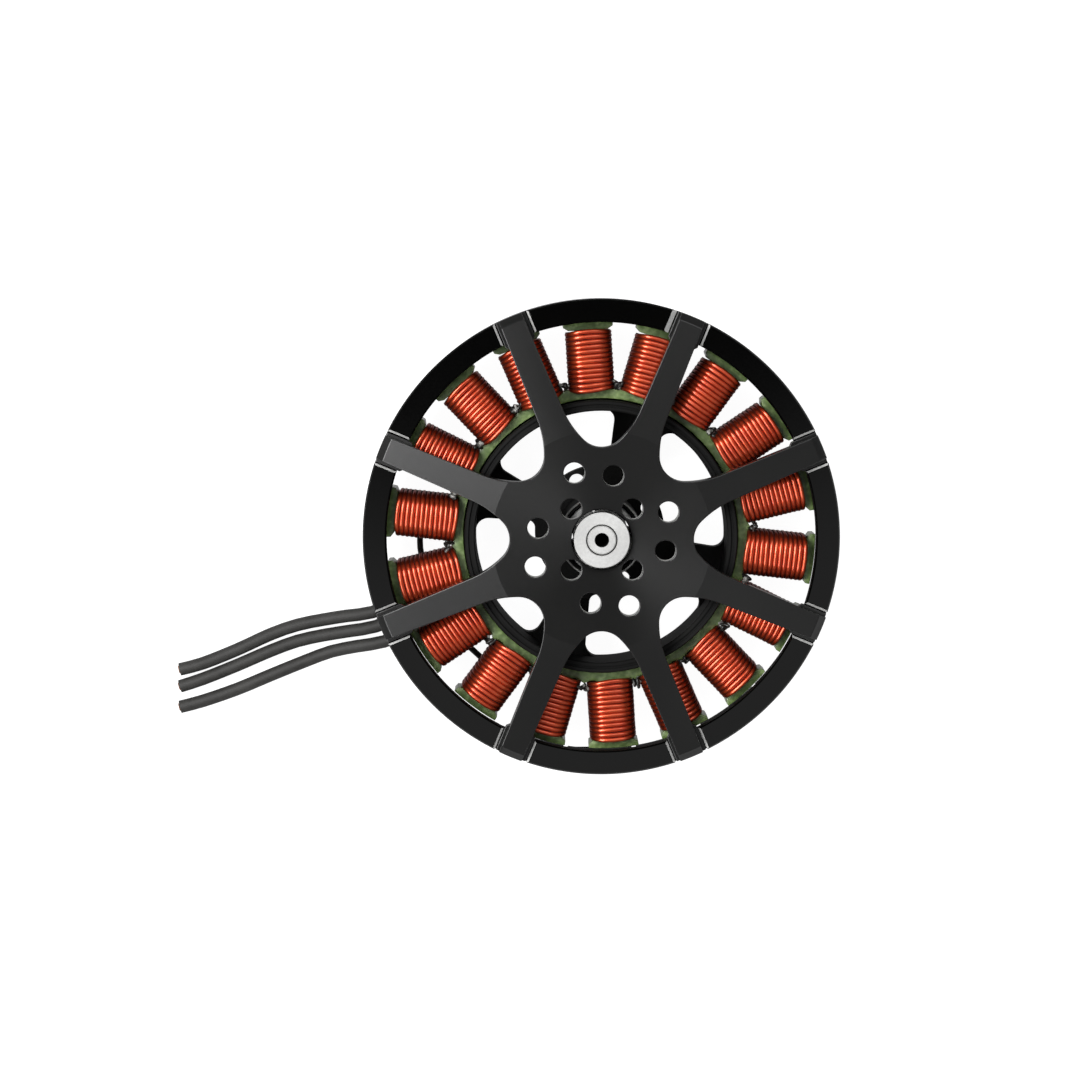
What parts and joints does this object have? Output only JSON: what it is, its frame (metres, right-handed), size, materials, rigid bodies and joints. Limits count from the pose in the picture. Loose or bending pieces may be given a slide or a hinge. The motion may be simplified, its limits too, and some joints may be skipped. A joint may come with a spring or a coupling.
{
  "type": "brushless outrunner motor",
  "caption": "Flat open-frame outrunner motor: spoked rotor can with magnets turning on bearings round a wound green stator, with three leads.",
  "frame": {"origin": "centre of the mounting face under the carrier, on the shaft's axis", "axes": "+Z along the shaft towards the propeller face, -X roughly towards the side where the leads leave"},
  "size_m": [0.1415, 0.1, 0.0325],
  "materials": {
    "spider_alloy": "black anodised, turned",
    "can_steel": "black coated steel",
    "magnet": "nickel plated magnet",
    "boss_alloy": "bright turned",
    "shaft_steel": "ground",
    "bearing_steel": "polished",
    "ball_steel": "polished",
    "shim_steel": "rolled",
    "clip_steel": "blackened spring steel",
    "carrier_alloy": "black anodised",
    "coated_laminations": "green epoxy coating",
    "enamelled_wire": "enamelled copper wire",
    "sleeving": "black sleeving",
    "lead_silicone": "black silicone insulation"
  },
  "bodies": {
    "stator": {"carrier": "carrier_alloy", "stator_core": "coated_laminations", "coil_01": "enamelled_wire", "coil_02": "enamelled_wire", "coil_03": "enamelled_wire", "coil_04": "enamelled_wire", "coil_05": "enamelled_wire", "coil_06": "enamelled_wire", "coil_07": "enamelled_wire", "coil_08": "enamelled_wire", "coil_09": "enamelled_wire", "coil_10": "enamelled_wire", "coil_11": "enamelled_wire", "coil_12": "enamelled_wire", "coil_13": "enamelled_wire", "coil_14": "enamelled_wire", "coil_15": "enamelled_wire", "coil_16": "enamelled_wire", "coil_17": "enamelled_wire", "coil_18": "enamelled_wire", "front_bearing_outer": "bearing_steel", "rear_bearing_outer": "bearing_steel", "winding_jumper_1": "sleeving", "winding_jumper_2": "sleeving", "winding_jumper_3": "sleeving", "lead_1": "lead_silicone", "lead_2": "lead_silicone", "lead_3": "lead_silicone"},
    "rotor": {"spider": "spider_alloy", "flux_ring": "can_steel", "magnet_01": "magnet", "magnet_02": "magnet", "magnet_03": "magnet", "magnet_04": "magnet", "magnet_05": "magnet", "magnet_06": "magnet", "magnet_07": "magnet", "magnet_08": "magnet", "magnet_09": "magnet", "magnet_10": "magnet", "magnet_11": "magnet", "magnet_12": "magnet", "magnet_13": "magnet", "magnet_14": "magnet", "magnet_15": "magnet", "magnet_16": "magnet", "magnet_17": "magnet", "magnet_18": "magnet", "magnet_19": "magnet", "magnet_20": "magnet", "prop_boss": "boss_alloy", "shaft": "shaft_steel", "shim_washer": "shim_steel", "shaft_clip": "clip_steel", "front_bearing_inner": "bearing_steel", "rear_bearing_inner": "bearing_steel"},
    "front_balls": {"front_bearing_balls": "ball_steel"},
    "rear_balls": {"rear_bearing_balls": "ball_steel"}
  },
  "joints": [
    {"name": "rotor_spin", "type": "hinge", "parent": "stator", "child": "rotor", "pos_m": [0, 0, 0.015], "axis": [0, 0, 1], "continuous": true},
    {"name": "front_balls_spin", "type": "hinge", "parent": "stator", "child": "front_balls", "pos_m": [0, 0, 0.0215], "axis": [0, 0, 1], "continuous": true},
    {"name": "rear_balls_spin", "type": "hinge", "parent": "stator", "child": "rear_balls", "pos_m": [0, 0, 0.0055], "axis": [0, 0, 1], "continuous": true}
  ],
  "couplings": [
    {"joint": "front_balls_spin", "follows": "rotor_spin", "ratio": 0.39},
    {"joint": "rear_balls_spin", "follows": "rotor_spin", "ratio": 0.39}
  ]
}
